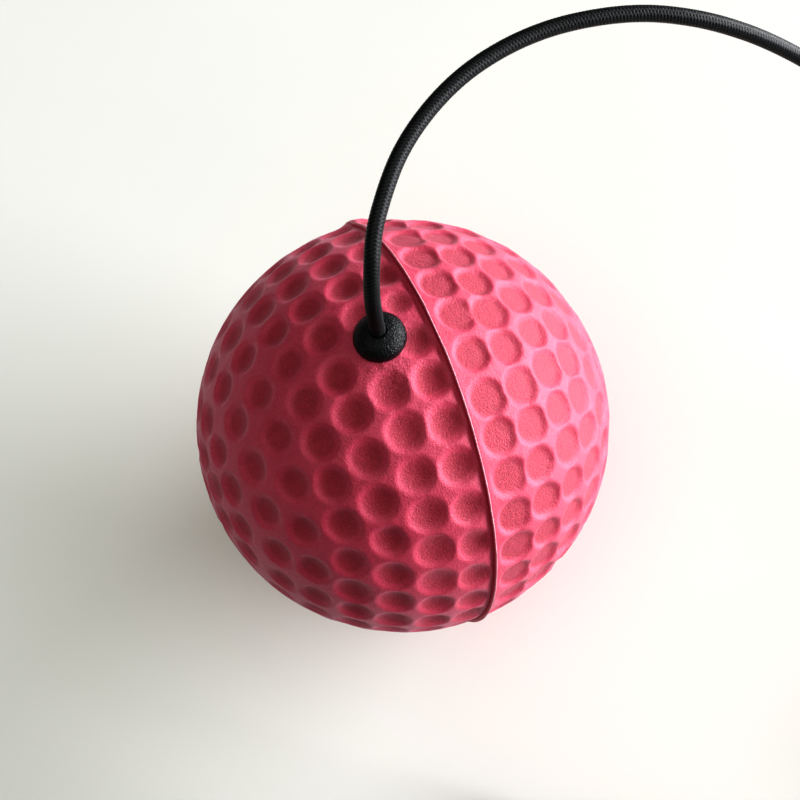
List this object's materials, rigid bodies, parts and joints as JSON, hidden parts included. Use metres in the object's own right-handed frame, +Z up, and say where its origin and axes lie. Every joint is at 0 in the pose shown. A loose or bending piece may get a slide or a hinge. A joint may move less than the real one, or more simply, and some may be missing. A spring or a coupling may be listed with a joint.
{
  "type": "reflex ball headband",
  "caption": "Dimpled foam ball on a braided elastic cord that runs to an adjustable webbing headband for punching practice.",
  "frame": {"origin": "middle of the underside of the ball and the headband together, on the surface they rest on", "axes": "+Z up, +Y from the ball towards the back of the headband, so the headband's front faces -Y; +X to the wearer's left"},
  "size_m": [0.1743, 0.2729, 0.0852],
  "materials": {
    "foam": "matte",
    "seam_glue": "matte",
    "plug_rubber": "satin",
    "washer_steel": "satin",
    "cord_braid": "matte",
    "tie_strap": "matte",
    "webbing": "matte",
    "buckle_plastic": "satin",
    "patch_leather": "satin",
    "eyelet_metal": "polished",
    "grip_silicone": "satin"
  },
  "bodies": {
    "headband": {"webbing_main": "webbing", "webbing_tail": "webbing", "strap_ring": "buckle_plastic", "front_patch": "patch_leather", "eyelet": "eyelet_metal", "eyelet_washer": "eyelet_metal", "band_knot": "cord_braid", "grip_strip_lower": "grip_silicone", "grip_strip_upper": "grip_silicone", "cord_to_band": "cord_braid", "cord_coil": "cord_braid", "coil_tie": "tie_strap", "cord_to_coil": "cord_braid"},
    "cord_end": {"cord_in_ball": "cord_braid", "plug_washer": "washer_steel", "ball_knot": "cord_braid"},
    "ball": {"ball_half_right": "foam", "ball_half_left": "foam", "seam_bead": "seam_glue", "ball_plug": "plug_rubber"},
    "adjuster": {"slider": "buckle_plastic", "tail_loop": "webbing"}
  },
  "joints": [
    {"name": "ball_swing", "type": "hinge", "parent": "headband", "child": "cord_end", "pos_m": [0, -0.1031, 0.066], "axis": [0, 1, 0], "range_deg": [-40, 40], "deforming": ["cord_to_coil"]},
    {"name": "ball_spin", "type": "hinge", "parent": "cord_end", "child": "ball", "pos_m": [0, -0.1031, 0.0315], "axis": [0, 0, 1], "continuous": true},
    {"name": "adjuster_slide", "type": "slide", "parent": "headband", "child": "adjuster", "axis": [-1, 0, 0], "range_m": [0, 0.024], "deforming": ["webbing_tail"]}
  ]
}
